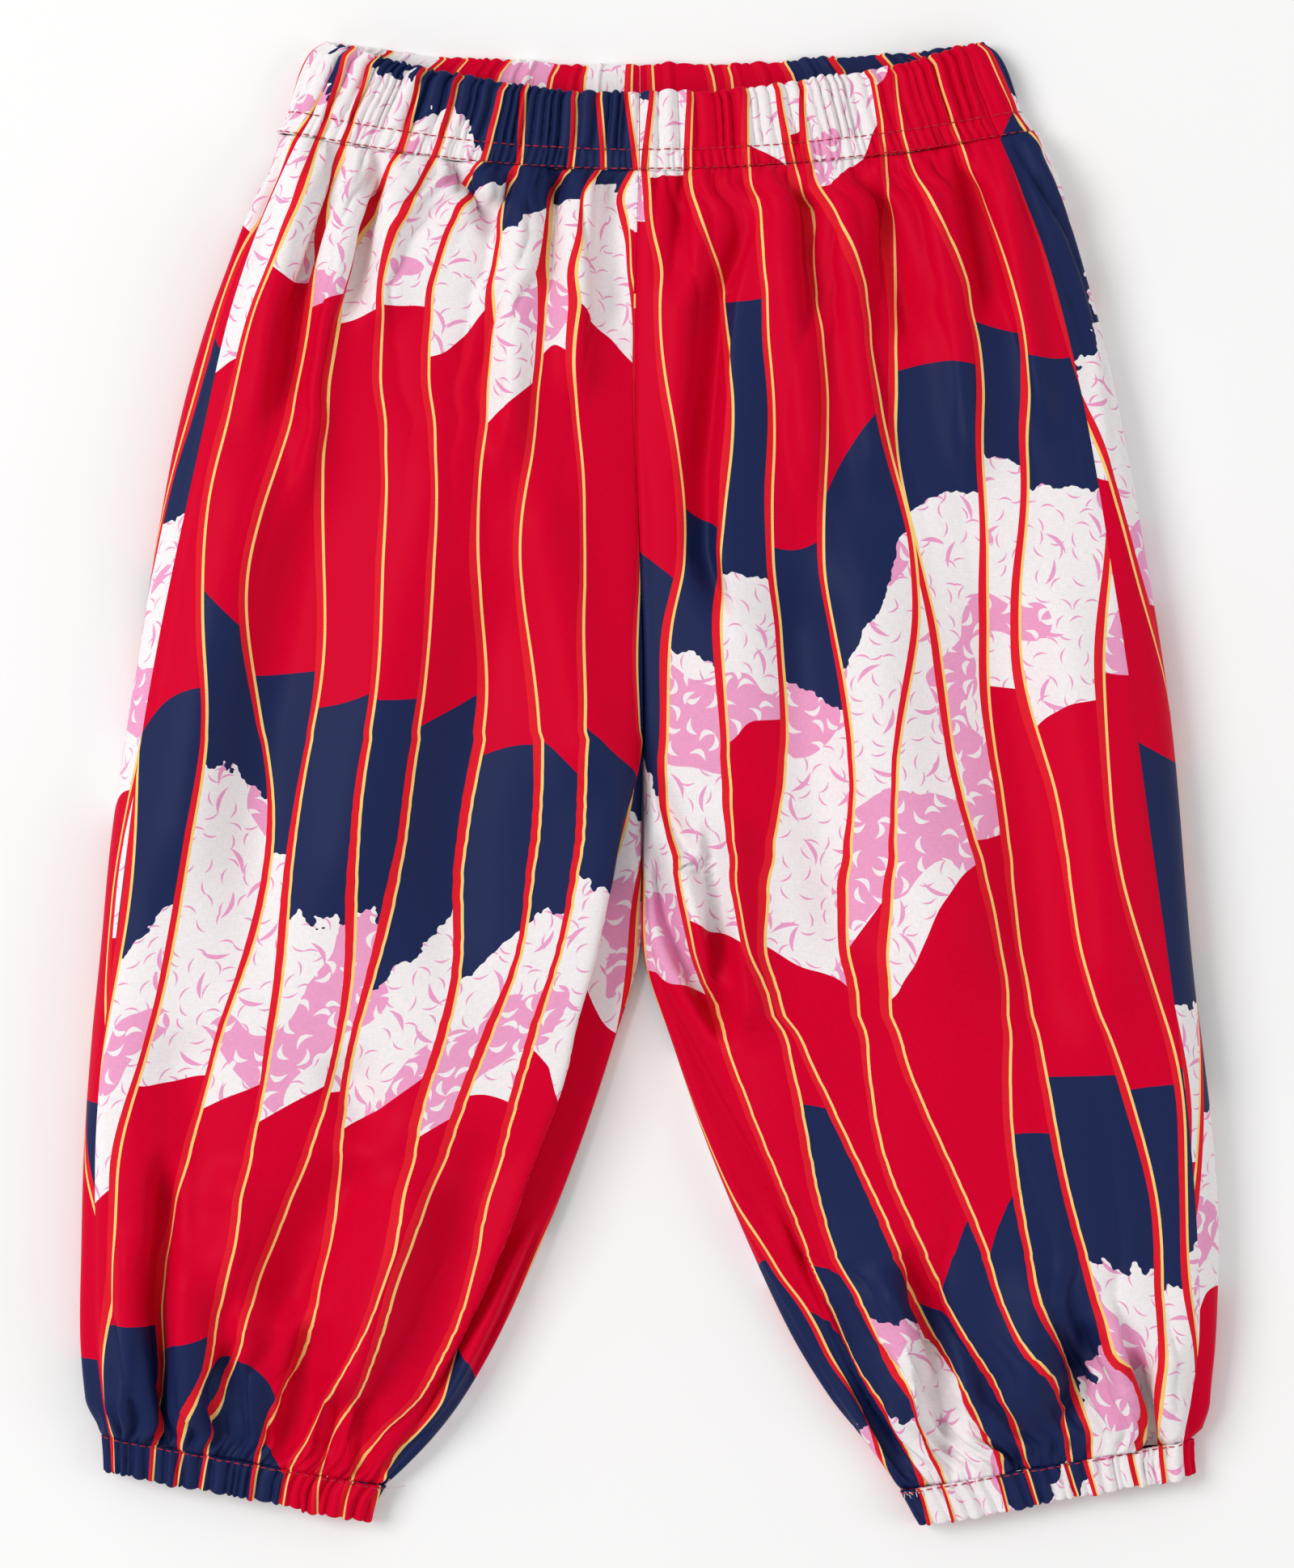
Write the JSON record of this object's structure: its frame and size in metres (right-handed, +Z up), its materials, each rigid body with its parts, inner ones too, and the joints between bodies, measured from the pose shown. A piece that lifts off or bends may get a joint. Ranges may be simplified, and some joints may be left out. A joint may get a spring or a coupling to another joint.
{
  "type": "pull-on lounge pants",
  "caption": "Toddler's pull-on lounge pants laid flat, front up: full legs gathered into elastic cuffs and an elastic waist casing, open at the waist and both cuffs.",
  "frame": {"origin": "centre of the bounding box, at the height of the surface the pants lie on", "axes": "+X to the right of someone looking down at the front, +Y from the cuffs to the waist, +Z up, away from the surface"},
  "size_m": [0.3494, 0.4584, 0.0255],
  "materials": {
    "printed_cloth": "matte smooth printed polyester with a soft sheen, mostly red with navy and white blocks",
    "gathered_casing": "the same printed cloth, doubled and gathered over elastic",
    "sewing_thread": "matte twisted polyester thread"
  },
  "bodies": {
    "root": {"front_left": "printed_cloth", "front_right": "printed_cloth", "back_left": "printed_cloth", "back_right": "printed_cloth", "waist_casing_front": "gathered_casing", "waist_casing_back": "gathered_casing", "cuff_left_front": "gathered_casing", "cuff_left_back": "gathered_casing", "cuff_right_front": "gathered_casing", "cuff_right_back": "gathered_casing"}
  },
  "joints": []
}
